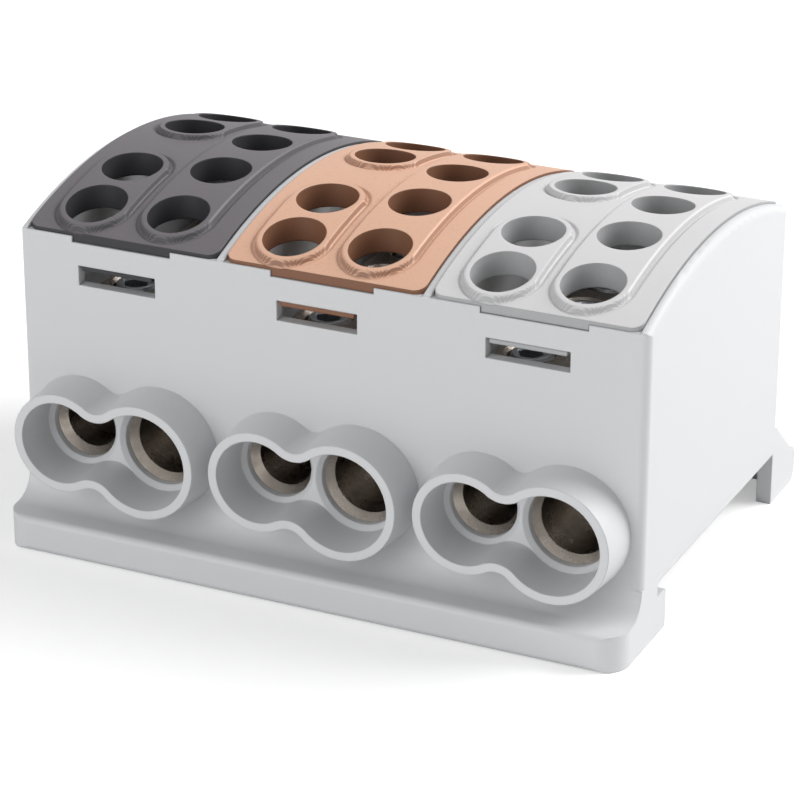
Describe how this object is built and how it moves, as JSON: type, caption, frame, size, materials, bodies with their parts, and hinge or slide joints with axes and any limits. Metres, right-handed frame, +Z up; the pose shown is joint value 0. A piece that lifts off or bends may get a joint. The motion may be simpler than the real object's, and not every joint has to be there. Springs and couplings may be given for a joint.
{
  "type": "power distribution block",
  "caption": "Rail-mounted power distribution block: grey housing with figure-eight cable funnels, arched coloured covers with screwdriver holes, and clamp screws over through bores.",
  "frame": {"origin": "middle of the footprint on the plane of the two feet", "axes": "+X across the poles, from the black cover to the grey one; -Y the front with the front foot; +Z up, away from the rail"},
  "size_m": [0.0716, 0.0538, 0.0398],
  "materials": {
    "housing": "light grey moulded polyamide, fine matt",
    "cover_black": "charcoal moulded plastic, fine matt",
    "cover_brown": "copper-brown moulded plastic, fine matt",
    "cover_grey": "pale grey moulded plastic, fine matt",
    "terminal": "nickel-plated brass, drilled",
    "screw": "zinc-plated steel"
  },
  "bodies": {
    "body": {"housing": "housing", "cover_black": "cover_black", "cover_brown": "cover_brown", "cover_grey": "cover_grey", "terminal_1": "terminal", "terminal_2": "terminal", "terminal_3": "terminal"},
    "screw_1a1": {"screw_1a1": "screw"},
    "screw_1a2": {"screw_1a2": "screw"},
    "screw_1a3": {"screw_1a3": "screw"},
    "screw_1a4": {"screw_1a4": "screw"},
    "screw_1b1": {"screw_1b1": "screw"},
    "screw_1b2": {"screw_1b2": "screw"},
    "screw_1b3": {"screw_1b3": "screw"},
    "screw_1b4": {"screw_1b4": "screw"},
    "screw_2a1": {"screw_2a1": "screw"},
    "screw_2a2": {"screw_2a2": "screw"},
    "screw_2a3": {"screw_2a3": "screw"},
    "screw_2a4": {"screw_2a4": "screw"},
    "screw_2b1": {"screw_2b1": "screw"},
    "screw_2b2": {"screw_2b2": "screw"},
    "screw_2b3": {"screw_2b3": "screw"},
    "screw_2b4": {"screw_2b4": "screw"},
    "screw_3a1": {"screw_3a1": "screw"},
    "screw_3a2": {"screw_3a2": "screw"},
    "screw_3a3": {"screw_3a3": "screw"},
    "screw_3a4": {"screw_3a4": "screw"},
    "screw_3b1": {"screw_3b1": "screw"},
    "screw_3b2": {"screw_3b2": "screw"},
    "screw_3b3": {"screw_3b3": "screw"},
    "screw_3b4": {"screw_3b4": "screw"}
  },
  "joints": [
    {"name": "screw_1a1_travel", "type": "slide", "parent": "body", "child": "screw_1a1", "axis": [0, 0, -1], "range_m": [-0.004, 0.0054]},
    {"name": "screw_1a2_travel", "type": "slide", "parent": "body", "child": "screw_1a2", "axis": [0, 0, -1], "range_m": [-0.004, 0.0054]},
    {"name": "screw_1a3_travel", "type": "slide", "parent": "body", "child": "screw_1a3", "axis": [0, 0, -1], "range_m": [-0.004, 0.0054]},
    {"name": "screw_1a4_travel", "type": "slide", "parent": "body", "child": "screw_1a4", "axis": [0, 0, -1], "range_m": [-0.004, 0.0054]},
    {"name": "screw_1b1_travel", "type": "slide", "parent": "body", "child": "screw_1b1", "axis": [0, 0, -1], "range_m": [-0.004, 0.007]},
    {"name": "screw_1b2_travel", "type": "slide", "parent": "body", "child": "screw_1b2", "axis": [0, 0, -1], "range_m": [-0.004, 0.007]},
    {"name": "screw_1b3_travel", "type": "slide", "parent": "body", "child": "screw_1b3", "axis": [0, 0, -1], "range_m": [-0.004, 0.007]},
    {"name": "screw_1b4_travel", "type": "slide", "parent": "body", "child": "screw_1b4", "axis": [0, 0, -1], "range_m": [-0.004, 0.007]},
    {"name": "screw_2a1_travel", "type": "slide", "parent": "body", "child": "screw_2a1", "axis": [0, 0, -1], "range_m": [-0.004, 0.0054]},
    {"name": "screw_2a2_travel", "type": "slide", "parent": "body", "child": "screw_2a2", "axis": [0, 0, -1], "range_m": [-0.004, 0.0054]},
    {"name": "screw_2a3_travel", "type": "slide", "parent": "body", "child": "screw_2a3", "axis": [0, 0, -1], "range_m": [-0.004, 0.0054]},
    {"name": "screw_2a4_travel", "type": "slide", "parent": "body", "child": "screw_2a4", "axis": [0, 0, -1], "range_m": [-0.004, 0.0054]},
    {"name": "screw_2b1_travel", "type": "slide", "parent": "body", "child": "screw_2b1", "axis": [0, 0, -1], "range_m": [-0.004, 0.007]},
    {"name": "screw_2b2_travel", "type": "slide", "parent": "body", "child": "screw_2b2", "axis": [0, 0, -1], "range_m": [-0.004, 0.007]},
    {"name": "screw_2b3_travel", "type": "slide", "parent": "body", "child": "screw_2b3", "axis": [0, 0, -1], "range_m": [-0.004, 0.007]},
    {"name": "screw_2b4_travel", "type": "slide", "parent": "body", "child": "screw_2b4", "axis": [0, 0, -1], "range_m": [-0.004, 0.007]},
    {"name": "screw_3a1_travel", "type": "slide", "parent": "body", "child": "screw_3a1", "axis": [0, 0, -1], "range_m": [-0.004, 0.0054]},
    {"name": "screw_3a2_travel", "type": "slide", "parent": "body", "child": "screw_3a2", "axis": [0, 0, -1], "range_m": [-0.004, 0.0054]},
    {"name": "screw_3a3_travel", "type": "slide", "parent": "body", "child": "screw_3a3", "axis": [0, 0, -1], "range_m": [-0.004, 0.0054]},
    {"name": "screw_3a4_travel", "type": "slide", "parent": "body", "child": "screw_3a4", "axis": [0, 0, -1], "range_m": [-0.004, 0.0054]},
    {"name": "screw_3b1_travel", "type": "slide", "parent": "body", "child": "screw_3b1", "axis": [0, 0, -1], "range_m": [-0.004, 0.007]},
    {"name": "screw_3b2_travel", "type": "slide", "parent": "body", "child": "screw_3b2", "axis": [0, 0, -1], "range_m": [-0.004, 0.007]},
    {"name": "screw_3b3_travel", "type": "slide", "parent": "body", "child": "screw_3b3", "axis": [0, 0, -1], "range_m": [-0.004, 0.007]},
    {"name": "screw_3b4_travel", "type": "slide", "parent": "body", "child": "screw_3b4", "axis": [0, 0, -1], "range_m": [-0.004, 0.007]}
  ]
}
